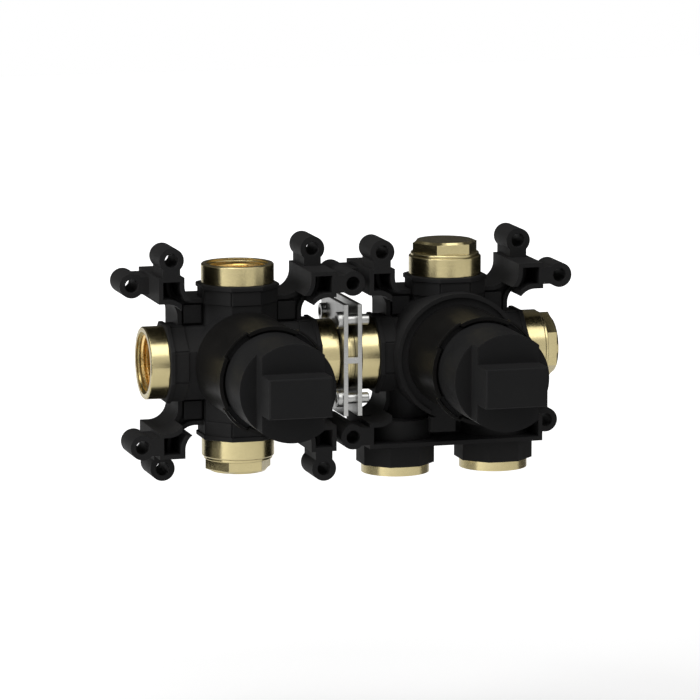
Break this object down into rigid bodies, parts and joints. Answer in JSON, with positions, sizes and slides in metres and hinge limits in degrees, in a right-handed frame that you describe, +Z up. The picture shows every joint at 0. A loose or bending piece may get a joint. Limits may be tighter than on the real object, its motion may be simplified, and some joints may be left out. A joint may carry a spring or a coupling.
{
  "type": "concealed mixer body",
  "caption": "In-wall shower mixer body: brass mixer and diverter modules in black moulded shells with screw eyes, joined by a steel clip, under pull-off site caps.",
  "frame": {"origin": "middle of the four outer side screw eyes, on the plane of the port axes", "axes": "+X to the right along the modules, +Y towards the wall, +Z up; the caps face -Y"},
  "size_m": [0.2115, 0.132, 0.1123],
  "materials": {
    "brass": "bright turned",
    "black_moulding": "satin black",
    "black_cap": "satin black",
    "white_plastic": "natural",
    "ceramic": "lapped ceramic",
    "seal": "rubber",
    "steel": "satin steel"
  },
  "bodies": {
    "valve_body": {"left_body": "brass", "left_front_shell": "black_moulding", "left_rear_shell": "black_moulding", "left_sleeve": "black_moulding", "mixer_base": "white_plastic", "mixer_seals": "seal", "mixer_fixed_disc": "ceramic", "mixer_housing": "white_plastic", "mixer_nut": "brass", "bottom_plug": "brass", "right_body": "brass", "right_front_shell": "black_moulding", "right_rear_shell": "black_moulding", "right_sleeve": "black_moulding", "diverter_base": "white_plastic", "diverter_seals": "seal", "diverter_fixed_disc": "ceramic", "diverter_housing": "white_plastic", "diverter_nut": "brass", "top_plug": "brass", "side_plug": "brass", "port_seals": "seal", "left_nipple": "brass", "right_nipple": "brass", "coupling_seal": "seal", "coupling_clip": "steel", "coupling_screws": "steel", "shell_screws": "steel"},
    "left_site_cap": {"left_cap": "black_cap"},
    "right_site_cap": {"right_cap": "black_cap"},
    "swivel": {"mixer_swivel": "white_plastic", "mixer_pin": "steel"},
    "lever": {"mixer_lever": "brass"},
    "sliding_disc": {"mixer_moving_disc": "ceramic", "mixer_carrier": "white_plastic"},
    "spindle": {"diverter_spindle": "brass", "diverter_moving_disc": "ceramic"}
  },
  "joints": [
    {"name": "left_cap_pull", "type": "slide", "parent": "valve_body", "child": "left_site_cap", "axis": [0, -1, 0], "range_m": [0, 0.06]},
    {"name": "right_cap_pull", "type": "slide", "parent": "valve_body", "child": "right_site_cap", "axis": [0, -1, 0], "range_m": [0, 0.06]},
    {"name": "mixer_turn", "type": "hinge", "parent": "valve_body", "child": "swivel", "pos_m": [-0.05, -0.046, 0], "axis": [0, -1, 0], "range_deg": [-50, 50]},
    {"name": "lever_tilt", "type": "hinge", "parent": "swivel", "child": "lever", "pos_m": [-0.05, -0.046, 0], "axis": [1, 0, 0], "range_deg": [-12, 12]},
    {"name": "disc_slide", "type": "slide", "parent": "swivel", "child": "sliding_disc", "axis": [0, 0, 1], "range_m": [-0.002, 0.002]},
    {"name": "diverter_turn", "type": "hinge", "parent": "valve_body", "child": "spindle", "pos_m": [0.05, -0.046, 0], "axis": [0, -1, 0], "range_deg": [0, 90]}
  ],
  "couplings": [
    {"joint": "disc_slide", "follows": "lever_tilt", "m_per_rad": 0.00943}
  ]
}
